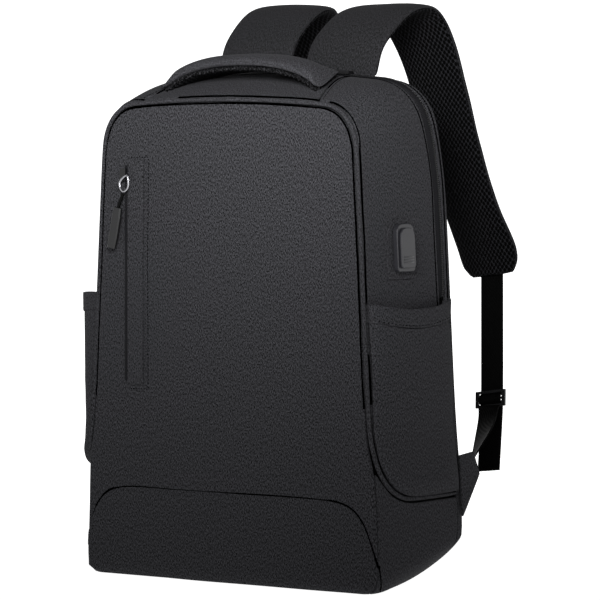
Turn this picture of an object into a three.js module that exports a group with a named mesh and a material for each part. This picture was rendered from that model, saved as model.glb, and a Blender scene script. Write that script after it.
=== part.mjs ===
// A laptop backpack, drawn in millimetres. X runs to the right of the bag as seen from its front,
// Y from its front to its back, and Z up from the floor. The origin is the middle of its base.

import * as THREE from 'three';

// Driving sizes of the bag's body.
const bag = {
  height: 462, // floor to the top of the back edge
  frontHeight: 441, // floor to the top of the front edge
  halfWidth: 165.5, // half the width at the floor
  taper: 0.054, // half width lost with each millimetre of height
  belly: { swell: 3.5, height: 78, reach: 75 }, // the low body is a little fuller
  depth: 138, // front face to back edge
  backLean: 27, // how far the back edge leans forward at the top
  leanStart: 350, // height at which that lean starts
  archDrop: 4, // how far the top edge falls from its middle to its corners
  crown: 5, // swell of the front face
  topSwell: 9, // swell of the top between its front and back edges
  sideSwell: 3, // swell of the sides
  wall: 4, // cloth, foam and lining
  lowEdge: 4, // rounding between the front face, the sides and the base
};
const clearance = 0.4; // between pieces that are sewn together

// The rounded corners of the outline: their width, height and squareness.
const corner = {
  frontLow: { wide: 11, tall: 18, power: 2 },
  backLow: { wide: 62, tall: 44, power: 1.29 },
  lowHold: 0.14, // share of the depth that keeps the front's low corner
  frontTop: { wide: 38, tall: 44, power: 2.15 },
  backTop: { wide: 44, tall: 44, power: 2.5 },
};

const boot = {
  seamHeight: 83, // the seam across the front
  seamDrop: 58, // how far it falls at the sides
  seamPower: 13, // how sharply it falls
};
const piping = {
  radius: 2.4,
  sink: 1.5, // its centre inside the corner of the front and the side
  seat: 2.8, // its centre to the edges of the panels beside it
  turn: 58, // radius of its sweep from the front edge to under the side pocket
  turnPower: 2.3,
  lowHeight: 82, // its height under the side pocket
  lift: 0.5, // its centre over the skin of the side
};
const rear = {
  band: 9, // width of the strip next to the back panel
  zip: 11, // width of the main zip
  coil: 1.2, // height of its coil
};
const backPad = { edge: 2, swell: 7, inset: 4 };
const topSeam = { frontX: 98, backX: 68 }; // where the top panel ends at the front and at the zip
const seamStep = 0.004; // half the gap of that seam, in steps along the outline
const pocket = {
  hem: 259, // height of the hem's top edge at its ends
  hemDip: 7, // how far it dips in the middle
  hemLift: { left: 2.5, right: 0 }, // the gaping pocket is pulled up a little
  wall: 1.6,
  bulge: { left: 32, right: 9 }, // the left pocket gapes a little
  lowShare: 0.62, // share of the bulge left at the foot
  footRound: 8, // height over which the foot rounds out
  bindingTall: 17,
  bindingThick: 2.8,
};
const handle = {
  halfLength: 94,
  width: 46,
  middleY: -27,
  topHeight: 481,
  clothThick: 10,
  meshThick: 4.5,
  lift: 1, // over the top's skin at its ends
  fall: 24, // crest to ends
  keepCloth: 0.35, // share of its thickness that the cloth keeps at its sewn ends
  keepMesh: 0.6,
};
const strap = {
  baseX: 48.5, // middle of each strap where it is sewn on
  spread: 70, // how far it moves outward on its way down
  reach: 144, // how far it stands back from its seam
  rise: 61, // height of its crest over its seam
  drop: 184, // height of its lower end under its seam
  width: 79,
  clothThick: 4.5,
  meshThick: 6,
};
const webbing = { width: 25, thick: 1.4 };
const glide = { width: 34, bar: 2.4, slot: 4.2, play: 1, thick: 2, drop: 115, alongX: 0.34, alongY: 0.26 };
const lacing = { // how the webbing runs through the tri-glide
  bend: 5, // beyond the outer bars
  slack: 0.2,
  turn: 0.08, // of its width away from the back
  lowBend: 12,
  lowSlack: 1.5,
  sag: 3, // of the lower webbing
};
const wing = {
  low: 60,
  high: 116,
  length: 25,
  slant: 7,
  tipLow: 97,
  tipHigh: 118,
  thick: 3,
  off: 1, // past the body's fuller middle
  tuck: 3, // its base behind the front of the back band
  hold: { in: 1, forward: 2, back: 3, up: 8 }, // where the lower webbing is sewn to its tip
};
const tail = { length: 66, alongX: 0.25, alongY: 0.2 };
const usb = {
  y: -13,
  z: 307,
  wide: 27,
  tall: 43,
  proud: 7.5,
  edge: 0.6, // rounding of the housing and the cover
  lowCorner: 3,
  topCorner: 9,
  cover: 2.2, // thickness of the cover
  sides: 3, // housing left beside the cover
  ends: 4, // housing left over and under the cover
  patchWide: 42,
  patchTall: 56,
  patchThick: 1,
};
const welt = { x: -102.5, wide: 18.5, low: 177, high: 383, thick: 1.6 };
const frontZip = {
  width: 3.2,
  thick: 1.1,
  ends: 4,
  sliderTop: 376,
  sliderTall: 11,
  sliderWide: 6.5,
  sliderThick: 3,
};
const pull = {
  wire: 1.1,
  loopWide: 10,
  loopTall: 15,
  loopSide: 3, // how far the loop reaches to the left of the zip's middle
  loopDrop: 6, // the loop's top under the slider's top
  cord: 1.5,
  cordFall: 15,
  cordSway: 5.5,
  gripSway: 8,
  gripWide: 9.5,
  gripTall: 37,
  gripThick: 4.5,
  chamfer: 1,
};
const mainPull = { x: 60, slider: 18, edge: 1.5, thick: 3, tab: 16, tabGap: 1, tabEdge: 2.5, tabThick: 1.6 };

const cloth = { color: 0x2f3033, roughness: 0.92, metalness: 0 };
const mesh = { color: 0x17171a, roughness: 0.95, metalness: 0 };
const band = { color: 0x1c1c1f, roughness: 0.85, metalness: 0 };
const plastic = { color: 0x141416, roughness: 0.45, metalness: 0 };
const metal = { color: 0xc9cacd, roughness: 0.25, metalness: 1 };
const rubber = { color: 0x1b1b1e, roughness: 0.6, metalness: 0 };

const group = new THREE.Group();
const middle = new THREE.Vector3(0, 0, bag.height / 2);
const frontY = -bag.depth / 2;

const mix = (a, b, share) => a + (b - a) * share;
const clamp = (value, low, high) => Math.min(high, Math.max(low, value));
const vec = (x, y, z) => new THREE.Vector3(x, y, z);

function blend(a, b, share) {
  return {
    wide: mix(a.wide, b.wide, share),
    tall: mix(a.tall, b.tall, share),
    power: mix(a.power, b.power, share),
  };
}

// Turns shared points and triangles into a closed mesh whose faces point out, and names it.
function addSolid(name, points, triangles, look) {
  let volume = 0;
  const cross = new THREE.Vector3();
  for (const [a, b, c] of triangles) {
    volume += points[a].dot(cross.crossVectors(points[b], points[c]));
  }
  const geometry = new THREE.BufferGeometry();
  geometry.setAttribute('position', new THREE.Float32BufferAttribute(points.flatMap((p) => p.toArray()), 3));
  geometry.setIndex(triangles.flatMap(([a, b, c]) => (volume < 0 ? [a, c, b] : [a, b, c])));
  geometry.computeVertexNormals();
  const solid = new THREE.Mesh(geometry, new THREE.MeshStandardMaterial(look));
  solid.name = name;
  group.add(solid);
  return solid;
}

// Joins two grids of points, one over the other, into a slab with closed edges.
function slab(name, outer, inner, look) {
  const rows = outer.length;
  const columns = outer[0].length;
  const points = [...outer.flat(), ...inner.flat()];
  const at = (layer, row, column) => layer * rows * columns + row * columns + column;
  const triangles = [];
  const quad = (a, b, c, d) => triangles.push([a, b, c], [a, c, d]);
  for (let r = 0; r < rows - 1; r += 1) {
    for (let c = 0; c < columns - 1; c += 1) {
      quad(at(0, r, c), at(0, r, c + 1), at(0, r + 1, c + 1), at(0, r + 1, c));
      quad(at(1, r, c), at(1, r + 1, c), at(1, r + 1, c + 1), at(1, r, c + 1));
    }
  }
  for (let r = 0; r < rows - 1; r += 1) {
    const last = columns - 1;
    quad(at(0, r, 0), at(0, r + 1, 0), at(1, r + 1, 0), at(1, r, 0));
    quad(at(0, r, last), at(1, r, last), at(1, r + 1, last), at(0, r + 1, last));
  }
  for (let c = 0; c < columns - 1; c += 1) {
    const last = rows - 1;
    quad(at(0, 0, c), at(1, 0, c), at(1, 0, c + 1), at(0, 0, c + 1));
    quad(at(0, last, c), at(0, last, c + 1), at(1, last, c + 1), at(1, last, c));
  }
  return addSolid(name, points, triangles, look);
}

// A grid of points on a surface whose two shares run from 0 to 1.
function grid(surface, columns, rows) {
  return Array.from({ length: rows + 1 }, (_, r) => (
    Array.from({ length: columns + 1 }, (__, c) => surface(c / columns, r / rows))
  ));
}

// A panel of cloth: surface(a, b) gives its outer face, and the wall goes inward from it.
function panel(name, surface, columns, rows, wall, look) {
  const step = 1e-3;
  const outer = [];
  const inner = [];
  for (let r = 0; r <= rows; r += 1) {
    outer.push([]);
    inner.push([]);
    for (let c = 0; c <= columns; c += 1) {
      const a = c / columns;
      const b = r / rows;
      const point = surface(a, b);
      const alongA = surface(Math.min(a + step, 1), b).sub(surface(Math.max(a - step, 0), b));
      const alongB = surface(a, Math.min(b + step, 1)).sub(surface(a, Math.max(b - step, 0)));
      const normal = alongA.cross(alongB).normalize();
      if (normal.dot(point.clone().sub(middle)) < 0) normal.negate();
      outer[r].push(point);
      inner[r].push(point.clone().addScaledVector(normal, -wall));
    }
  }
  return slab(name, outer, inner, look);
}

// Joins rings of points, all of one length, into a closed body with flat ends.
function loft(name, rings, look, closed = false) {
  const count = rings[0].length;
  const points = rings.flat();
  const triangles = [];
  const spans = closed ? rings.length : rings.length - 1;
  for (let r = 0; r < spans; r += 1) {
    const next = (r + 1) % rings.length;
    for (let k = 0; k < count; k += 1) {
      const other = (k + 1) % count;
      const [a, b] = [r * count + k, r * count + other];
      const [c, d] = [next * count + other, next * count + k];
      triangles.push([a, b, c], [a, c, d]);
    }
  }
  if (!closed) {
    for (const [ring, turn] of [[0, 1], [rings.length - 1, -1]]) {
      const centre = rings[ring].reduce((sum, p) => sum.add(p), vec(0, 0, 0)).divideScalar(count);
      const hub = points.length;
      points.push(centre);
      for (let k = 0; k < count; k += 1) {
        const [a, b] = [ring * count + k, ring * count + ((k + 1) % count)];
        triangles.push(turn > 0 ? [hub, b, a] : [hub, a, b]);
      }
    }
  }
  return addSolid(name, points, triangles, look);
}

// A section carried along a path. frameAt gives each ring its place, its across and its up.
function sweep(name, frames, section, look) {
  const rings = frames.map((frame, index) => section(index / (frames.length - 1)).map(([across, up]) => (
    frame.place.clone().addScaledVector(frame.across, across).addScaledVector(frame.up, up)
  )));
  return loft(name, rings, look);
}

// Frames along a curve whose width direction is given at each step.
function framesAlong(curve, steps, acrossAt, from = 0, to = 1) {
  const frames = [];
  for (let k = 0; k <= steps; k += 1) {
    const share = mix(from, to, k / steps);
    const along = curve.getTangent(share).normalize();
    const across = acrossAt(share);
    across.addScaledVector(along, -across.dot(along)).normalize();
    frames.push({ place: curve.getPoint(share), along, across, up: across.clone().cross(along).normalize() });
  }
  return frames;
}

function roundSection(radius, sides) {
  return () => Array.from({ length: sides }, (_, k) => {
    const angle = (2 * Math.PI * k) / sides;
    return [radius * Math.cos(angle), radius * Math.sin(angle)];
  });
}

function flatSection(width, thick) {
  const [a, b] = [width / 2, thick / 2];
  return () => [[-a, -b], [a, -b], [a, b], [-a, b]];
}

// The outline of the body.

function halfWidthAt(z) {
  const off = clamp(Math.abs(z - bag.belly.height) / bag.belly.reach, 0, 1);
  return bag.halfWidth - bag.taper * z + bag.belly.swell * (1 - off ** 2) ** 2;
}
const backYAt = (z) => {
  const lean = clamp((z - bag.leanStart) / (bag.height - bag.leanStart), 0, 1);
  return bag.depth / 2 - bag.backLean * lean ** 2;
};

// Corners and heights of the outline, drawn inset by a distance, at a share of the way from
// the front edge (0) to the back edge (1).
function outlineSizes(share, inset) {
  const held = clamp((share - corner.lowHold) / (1 - corner.lowHold), 0, 1);
  const low = blend(corner.frontLow, corner.backLow, held);
  const top = blend(corner.frontTop, corner.backTop, share);
  const height = mix(bag.frontHeight, bag.height, share);
  const shoulder = height - bag.archDrop - top.tall;
  return {
    low,
    top,
    shoulder,
    foot: low.tall,
    crest: height - inset,
    lowU: 1 - (low.wide - inset) / (halfWidthAt(low.tall) - inset),
    topU: 1 - (top.wide - inset) / (halfWidthAt(shoulder) - inset),
    lowTall: low.tall - inset,
    topTall: top.tall - inset,
    inset,
  };
}

// One half of the outline: s runs 0 to 1 along the base, 1 to 2 round the low corner, 2 to 3
// up the side, 3 to 4 round the top corner and 4 to 5 along the top to its middle.
function outline(share, s, inset = 0) {
  const size = outlineSizes(share, inset);
  let u = 1;
  let z = 0;
  if (s <= 1) {
    u = size.lowU * s;
    z = inset;
  } else if (s <= 2) {
    const angle = ((s - 1) * Math.PI) / 2;
    u = size.lowU + (1 - size.lowU) * Math.sin(angle) ** (2 / size.low.power);
    z = size.foot - size.lowTall * Math.max(Math.cos(angle), 0) ** (2 / size.low.power);
  } else if (s <= 3) {
    z = mix(size.foot, size.shoulder, s - 2);
  } else if (s <= 4) {
    const angle = ((s - 3) * Math.PI) / 2;
    u = size.topU + (1 - size.topU) * Math.max(Math.cos(angle), 0) ** (2 / size.top.power);
    z = size.shoulder + size.topTall * Math.sin(angle) ** (2 / size.top.power);
  } else {
    const fromMiddle = 5 - s;
    u = size.topU * fromMiddle;
    z = size.crest - bag.archDrop * fromMiddle ** 2;
  }
  return { x: u * (halfWidthAt(z) - inset), z };
}

// Height of the outline's lower and upper edge at a share u of its half width.
function lowHeight(share, u, inset) {
  const size = outlineSizes(share, inset);
  const q = clamp((u - size.lowU) / (1 - size.lowU), 0, 1);
  return size.foot - size.lowTall * (1 - q ** size.low.power) ** (1 / size.low.power);
}

function topHeight(share, u, inset) {
  const size = outlineSizes(share, inset);
  if (u <= size.topU) return size.crest - bag.archDrop * (u / size.topU) ** 2;
  const q = clamp((u - size.topU) / (1 - size.topU), 0, 1);
  return size.shoulder + size.topTall * (1 - q ** size.top.power) ** (1 / size.top.power);
}

const swellAt = (s) => {
  if (s <= 1) return 0;
  if (s <= 2) return bag.sideSwell * (s - 1);
  if (s <= 3) return bag.sideSwell;
  if (s <= 4) return mix(bag.sideSwell, bag.topSwell, s - 3);
  return bag.topSwell;
};
const backYOn = (s) => backYAt(outline(1, s).z);

// A point of the band of cloth between the front edge and the back edge.
function gusset(side, s, y, out = 0) {
  const share = clamp((y - frontY) / (backYOn(s) - frontY), 0, 1);
  const swell = swellAt(s) * Math.sin(Math.PI * share);
  const { x, z } = outline(share, s, -swell - out);
  return vec(side * x, y, z);
}

// The s of a height on the side.
function sAtHeight(y, z) {
  const share = clamp((y - frontY) / (bag.depth), 0, 1);
  const size = outlineSizes(share, 0);
  return 2 + (z - size.foot) / (size.shoulder - size.foot);
}

// The s of a distance from the middle along the top.
function sAtTopX(y, x) {
  const share = clamp((y - frontY) / (backYOn(5) - frontY), 0, 1);
  const size = outlineSizes(share, -bag.topSwell * Math.sin(Math.PI * share));
  return 5 - x / (size.topU * (halfWidthAt(bag.height) - size.inset));
}

const zipFrontY = (s) => backYOn(s) - rear.band - rear.zip;
const zipBackY = (s) => backYOn(s) - rear.band;
const rearGap = 2 * clearance; // beside the main zip, whose edges bend with the back edge

// Height of the piping's line on the side, moved by a distance square to it.
const turnMiddleY = frontY + piping.sink + piping.turn;
function pipingHeight(y, move = 0) {
  const radius = piping.turn - move;
  const share = clamp((turnMiddleY - y) / radius, 0, 1);
  const rise = 1 - (1 - share ** piping.turnPower) ** (1 / piping.turnPower);
  return piping.lowHeight + move + radius * rise;
}

// The front face: its swell, and its rounding toward the sides and the base.
function frontFaceY(x, z) {
  const across = clamp(x / halfWidthAt(z), -1, 1);
  const up = clamp((2 * z) / bag.frontHeight - 1, -1, 1);
  return frontY - bag.crown * (1 - across ** 2) * (1 - up ** 4);
}

function edgeRound(distance, radius) {
  if (radius <= 0 || distance >= radius) return 0;
  return radius - Math.sqrt(radius ** 2 - (radius - Math.max(distance, 0)) ** 2);
}

const seamHeight = (u) => boot.seamHeight - boot.seamDrop * Math.abs(u) ** boot.seamPower;

// Columns that crowd toward the sides.
const spreadU = (a) => Math.sin((a - 0.5) * Math.PI * 0.94) / Math.sin(0.47 * Math.PI);

const wrapHeight = 107; // under this height the front cloth wraps round onto the side
const pipedHeight = 128; // over this height the front cloth ends at the piping
const panelLevels = [0.34, 0.453, 0.567, 0.68, 0.782, 0.862]; // shares of the front's height

// The front panels stand with their inner face a wall behind the outer one. Where their cloth
// wraps round, the inner face is drawn inset by the wall.
function frontPoint(x, z, wrap, layer) {
  const y = frontFaceY(x, z);
  return vec(x, layer ? y + bag.wall : y + edgeRound(wrap.distance, wrap.radius), z);
}

function frontPanel() {
  const rows = panelLevels.length + 3;
  const face = (layer) => (a, b) => {
    const u = spreadU(a);
    const row = b * rows;
    const low = seamHeight(u) + clearance;
    const edge = piping.sink + piping.seat;
    const high = topHeight(0, Math.abs(u), edge);
    const levels = [wrapHeight, pipedHeight, ...panelLevels.map((share) => share * bag.frontHeight)];
    const heights = [low, ...levels.map((level) => Math.min(level, mix(low, high, 0.97))), high];
    const floor = Math.min(Math.floor(row), rows - 1);
    const z = mix(heights[floor], heights[floor + 1], row - floor);
    const piped = clamp((z - wrapHeight) / (pipedHeight - wrapHeight), 0, 1);
    const inset = mix(layer * bag.wall, edge, piped);
    const x = u * (halfWidthAt(z) - inset);
    const wrap = { distance: halfWidthAt(z) - inset - Math.abs(x), radius: mix(bag.lowEdge, 0, piped) };
    return frontPoint(x, z, wrap, layer);
  };
  slab('front_panel', grid(face(0), 22, rows), grid(face(1), 22, rows), cloth);
}

function bootPanel() {
  const face = (layer) => (a, b) => {
    const u = spreadU(a);
    const inset = layer * bag.wall;
    const low = lowHeight(0, Math.abs(u), inset);
    const z = mix(low, seamHeight(u) - clearance, b ** 1.6);
    const x = u * (halfWidthAt(z) - inset);
    const distance = Math.min(halfWidthAt(z) - inset - Math.abs(x), z - low);
    return frontPoint(x, z, { distance, radius: bag.lowEdge }, layer);
  };
  slab('boot_panel', grid(face(0), 22, 6), grid(face(1), 22, 6), cloth);
}

const lowFrontY = frontY + bag.lowEdge + clearance;

function basePanel() {
  const surface = (a, b) => {
    const y = mix(lowFrontY, zipBackY(0) - clearance, b);
    const edge = gusset(1, 1, y).x - clearance;
    return vec(mix(-edge, edge, a), y, 0);
  };
  panel('base_panel', surface, 6, 4, bag.wall, cloth);
}

function sideLower(name, side) {
  const surface = (a, b) => {
    const y = mix(lowFrontY, zipBackY(2) - clearance, a);
    const high = sAtHeight(y, pipingHeight(y, -piping.seat - 2 * clearance));
    return gusset(side, mix(1, high, b), y);
  };
  panel(name, surface, 8, 8, bag.wall, cloth);
}

const panelFrontY = frontY + piping.sink + piping.seat;
const seamX = (share) => mix(topSeam.frontX, topSeam.backX, share);

function sideGusset(name, side) {
  const surface = (a, b) => {
    const y0 = panelFrontY;
    const sLow = sAtHeight(mix(y0, zipFrontY(2), a), pipingHeight(mix(y0, zipFrontY(2), a), piping.seat));
    const yTop = mix(y0, zipFrontY(5) - clearance, a);
    const sHigh = sAtTopX(yTop, seamX(a)) - seamStep;
    const s = mix(sLow, sHigh, b);
    return gusset(side, s, mix(y0, zipFrontY(s) - rearGap, a));
  };
  panel(name, surface, 7, 15, bag.wall, cloth);
}

function topGusset() {
  const surface = (a, b) => {
    const signed = 2 * b - 1;
    const side = signed < 0 ? -1 : 1;
    const yTop = mix(panelFrontY, zipFrontY(5) - clearance, a);
    const sSeam = sAtTopX(yTop, seamX(a)) + seamStep;
    const s = 5 - (5 - sSeam) * Math.abs(signed);
    return gusset(side, s, mix(panelFrontY, zipFrontY(s) - rearGap, a));
  };
  panel('top_gusset', surface, 7, 14, bag.wall, cloth);
}

// A strip that follows the back edge from one side to the other over the top.
function rearStrip(name, from, to, raise, look) {
  const sides = 18;
  const surface = (a, b) => {
    const signed = 2 * b - 1;
    const side = signed < 0 ? -1 : 1;
    const sLow = sAtHeight(bag.depth / 2 - rear.band, pocket.hem);
    const s = 5 - (5 - sLow) * Math.abs(signed);
    const out = raise * (Math.abs(a - 0.5) < 0.1 ? 1 : 0);
    return gusset(side, s, mix(from(s), to(s), a), out);
  };
  panel(name, surface, 4, 2 * sides, bag.wall, look);
}

function backBand() {
  const steps = 40;
  const rings = [];
  for (let k = 0; k < 2 * steps; k += 1) {
    const side = k < steps ? 1 : -1;
    const s = k < steps ? (5 * k) / steps : 5 - (5 * (k - steps)) / steps;
    const yBack = backYOn(s);
    const yFront = zipBackY(s);
    const outer = [gusset(side, s, yFront), gusset(side, s, yBack)];
    const inward = outline(1, s, bag.wall);
    const inner = outer.map((p) => {
      const rise = p.z - outline(1, s).z;
      return vec(side * inward.x, p.y, inward.z + rise);
    });
    rings.push([outer[0], outer[1], inner[1], inner[0]]);
  }
  loft('back_band', rings, cloth, true);
}

function backPanel() {
  const outer = [];
  const inner = [];
  const rows = 12;
  const columns = 12;
  for (let r = 0; r <= rows; r += 1) {
    outer.push([]);
    inner.push([]);
    for (let c = 0; c <= columns; c += 1) {
      const u = spreadU(c / columns);
      const low = lowHeight(1, Math.abs(u), backPad.inset);
      const high = topHeight(1, Math.abs(u), backPad.inset);
      const b = r / rows;
      const z = mix(low, high, (1 - Math.cos(Math.PI * b)) / 2);
      const x = u * (halfWidthAt(z) - backPad.inset);
      const y = backYAt(z) + rearGap;
      const edge = (1 - u ** 6) * (1 - (2 * b - 1) ** 6);
      inner[r].push(vec(x, y, z));
      outer[r].push(vec(x, y + backPad.edge + backPad.swell * edge, z));
    }
  }
  slab('back_panel', outer, inner, mesh);
}

function frontPiping() {
  const path = [];
  const onSide = (side, y) => {
    const z = pipingHeight(y);
    const p = gusset(side, sAtHeight(y, z), y, piping.lift);
    return vec(p.x, y, z);
  };
  const half = (side) => {
    const list = [];
    const sides = 11;
    for (let k = 0; k < sides; k += 1) {
      const angle = (Math.PI / 2) * (k / sides);
      const back = zipBackY(2) - piping.radius - clearance;
      const y = k === 0 ? back : mix(turnMiddleY, frontY + piping.sink, Math.sin(angle));
      list.push(onSide(side, y));
    }
    const size = outlineSizes(0, piping.sink);
    const start = 2 + (piping.lowHeight + piping.turn - size.foot) / (size.shoulder - size.foot);
    const steps = 20;
    for (let k = 0; k <= steps; k += 1) {
      const s = mix(start, 5, k / steps);
      const { x, z } = outline(0, s, piping.sink);
      list.push(vec(side * x, frontY + piping.sink, z));
    }
    return list;
  };
  const right = half(1);
  const left = half(-1).reverse();
  path.push(...right, ...left.slice(1));
  const frames = path.map((place, k) => {
    const before = path[Math.max(k - 1, 0)];
    const after = path[Math.min(k + 1, path.length - 1)];
    const along = after.clone().sub(before).normalize();
    const outward = place.clone().sub(vec(0, 0, place.z)).normalize();
    const across = outward.addScaledVector(along, -outward.dot(along)).normalize();
    return { place, along, across, up: across.clone().cross(along).normalize() };
  });
  sweep('front_piping', frames, roundSection(piping.radius, 6), cloth);
}

// Side pockets.

const hemAt = (share) => pocket.hem - pocket.hemDip * Math.sin(Math.PI * share);
const pocketBackY = zipBackY(2) - clearance;

function pocketPoint(side, share, up, out) {
  const bulge = side < 0 ? pocket.bulge.left : pocket.bulge.right;
  const y = mix(panelFrontY, pocketBackY, share);
  const low = pipingHeight(y, piping.seat);
  const hem = hemAt(share) + (side < 0 ? pocket.hemLift.left : pocket.hemLift.right);
  const z = mix(low, hem - pocket.bindingTall - clearance, up);
  const round = Math.sqrt(1 - (1 - clamp((z - low) / pocket.footRound, 0, 1)) ** 2);
  const across = Math.sqrt(1 - (2 * share - 1) ** 4);
  const grow = mix(pocket.lowShare, 1, up) * round * across;
  const skin = gusset(side, sAtHeight(y, z), y);
  return vec(skin.x + side * (clearance + pocket.wall + out + bulge * grow), y, z);
}

function sidePocket(name, side) {
  const surface = (a, b) => {
    const share = (1 - Math.cos(Math.PI * a)) / 2;
    return pocketPoint(side, share, b ** 1.4, 0);
  };
  panel(name, surface, 12, 8, pocket.wall, cloth);
}

function pocketHem(name, side) {
  const steps = 14;
  const rings = [];
  for (let k = 0; k <= steps; k += 1) {
    const share = (1 - Math.cos((Math.PI * k) / steps)) / 2;
    const edge = pocketPoint(side, share, 1, 0);
    const inX = edge.x - side * pocket.wall;
    const low = edge.z + clearance;
    const outX = inX + side * pocket.bindingThick;
    rings.push([
      vec(inX, edge.y, low), vec(outX, edge.y, low),
      vec(outX, edge.y, low + pocket.bindingTall), vec(inX, edge.y, low + pocket.bindingTall),
    ]);
  }
  loft(name, rings, cloth);
}

// The grab handle over the top panel.

const topSkin = (x, y) => gusset(1, sAtTopX(y, Math.abs(x)), y).z;

function handleLayer(name, low, high, inset, keep, look) {
  const rows = [ // share of the half length, and height of the middle under the crest in shares of the rise
    { along: 0, fall: 0 },
    { along: 0.3, fall: 0.06 },
    { along: 0.55, fall: 0.2 },
    { along: 0.75, fall: 0.42 },
    { along: 0.9, fall: 0.72 },
    { along: 1, fall: 1.05 },
  ];
  const crest = handle.topHeight - handle.clothThick;
  const at = (row, side) => {
    const x = side * row.along * handle.halfLength;
    return vec(x, handle.middleY, crest - row.fall * handle.fall);
  };
  const points = [...rows].reverse().map((row) => at(row, -1));
  points.push(...rows.slice(1).map((row) => at(row, 1)));
  const curve = new THREE.CatmullRomCurve3(points, false, 'centripetal');
  const frames = framesAlong(curve, 18, () => vec(0, 1, 0));
  const half = handle.width / 2 - inset;
  const section = () => {
    const ring = [-1, -0.5, 0, 0.5, 1].map((share) => [share * half, low]);
    for (let k = 0; k <= 5; k += 1) {
      const angle = (Math.PI * k) / 5;
      ring.push([half * Math.cos(angle), low + (high - low) * (0.35 + 0.65 * Math.sin(angle))]);
    }
    return ring;
  };
  const rings = frames.map((frame) => section().map(([across, up]) => {
    const point = frame.place.clone().addScaledVector(frame.across, across).addScaledVector(frame.up, -up);
    const least = topSkin(point.x, point.y) + handle.lift + handle.meshThick + low + keep * (up - low);
    point.z = Math.max(point.z, least);
    return point;
  }));
  loft(name, rings, look);
}

// Shoulder straps.

const strapRows = [ // shares of the spread, the reach, the rise or drop, and the width
  { out: 0, back: 0, up: 0, wide: 1 },
  { out: 0.02, back: 0.05, up: 0.37, wide: 1 },
  { out: 0.04, back: 0.16, up: 0.65, wide: 1 },
  { out: 0.07, back: 0.38, up: 0.96, wide: 1 },
  { out: 0.14, back: 0.61, up: 0.98, wide: 0.94 },
  { out: 0.23, back: 0.77, up: 0.55, wide: 0.85 },
  { out: 0.36, back: 0.85, up: -0.06, wide: 0.82 },
  { out: 0.56, back: 0.89, up: -0.38, wide: 0.84 },
  { out: 0.785, back: 0.94, up: -0.7, wide: 0.86 },
  { out: 0.965, back: 0.99, up: -0.89, wide: 0.93 },
  { out: 1.01, back: 1, up: -0.96, wide: 0.88 },
  { out: 1.03, back: 1, up: -1.015, wide: 0.66 },
];
const strapSeat = { y: backYAt(bag.height) - 2, z: bag.height + clearance };

function strapPlace(side, row) {
  const height = row.up > 0 ? row.up * strap.rise : row.up * strap.drop;
  const x = side * (strap.baseX + row.out * strap.spread);
  return vec(x, strapSeat.y + row.back * strap.reach, strapSeat.z + height);
}

const strapCurve = (side) =>
  new THREE.CatmullRomCurve3(strapRows.map((row) => strapPlace(side, row)), false, 'centripetal');
const strapAcross = (side) => (share) => vec(side, -0.2 * clamp((share - 0.4) * 4, 0, 1), 0);

function widthShare(share) {
  const row = share * (strapRows.length - 1);
  const floor = Math.min(Math.floor(row), strapRows.length - 2);
  return mix(strapRows[floor].wide, strapRows[floor + 1].wide, row - floor);
}

// One layer of a strap between two heights over its middle face: cloth is over it, mesh under it.
function strapLayer(name, side, low, high, look) {
  const frames = framesAlong(strapCurve(side), 24, strapAcross(side));
  const section = (share) => {
    const half = (strap.width * widthShare(share)) / 2;
    const ring = [[-half, low], [half, low]];
    for (let k = 0; k <= 6; k += 1) {
      const angle = (Math.PI * k) / 6;
      ring.push([half * Math.cos(angle), low + (high - low) * (0.3 + 0.7 * Math.sin(angle))]);
    }
    return ring.map(([across, up]) => [across, side * up]);
  };
  sweep(name, frames, section, look);
}

// The webbing, from the strap's end through the tri-glide to the wing on the bag.

const padEnd = (side) => strapPlace(side, strapRows[strapRows.length - 1]);
const wingTip = (side) => vec(
  side * (halfWidthAt(wing.low) - wing.thick / 2 - wing.hold.in),
  bag.depth / 2 + wing.length - wing.hold.forward,
  (wing.tipLow + wing.tipHigh) / 2,
);

function webbingPath(side) {
  const start = padEnd(side);
  const end = wingTip(side);
  const glideX = mix(start.x, end.x, glide.alongX);
  const glidePlace = vec(glideX, mix(start.y, end.y, glide.alongY), start.z - glide.drop);
  return { start, end, glidePlace };
}

function triGlide(name, frame) {
  const half = glide.width / 2;
  const tall = glide.slot + 1.5 * glide.bar;
  const shape = new THREE.Shape([
    new THREE.Vector2(-half, -tall), new THREE.Vector2(half, -tall),
    new THREE.Vector2(half, tall), new THREE.Vector2(-half, tall),
  ]);
  for (const sign of [-1, 1]) {
    const inner = sign * (glide.bar / 2);
    const outer = sign * (glide.bar / 2 + glide.slot);
    const [low, high] = [Math.min(inner, outer), Math.max(inner, outer)];
    const slotHalf = webbing.width / 2 + glide.play;
    shape.holes.push(new THREE.Path([
      new THREE.Vector2(-slotHalf, low), new THREE.Vector2(-slotHalf, high),
      new THREE.Vector2(slotHalf, high), new THREE.Vector2(slotHalf, low),
    ]));
  }
  const geometry = new THREE.ExtrudeGeometry(shape, { depth: glide.thick, bevelEnabled: false });
  geometry.translate(0, 0, -glide.thick / 2);
  const solid = new THREE.Mesh(geometry, new THREE.MeshStandardMaterial(plastic));
  solid.name = name;
  const turn = new THREE.Matrix4().makeBasis(frame.across, frame.along.clone().negate(), frame.up);
  turn.setPosition(frame.place);
  solid.applyMatrix4(turn);
  group.add(solid);
}

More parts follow.
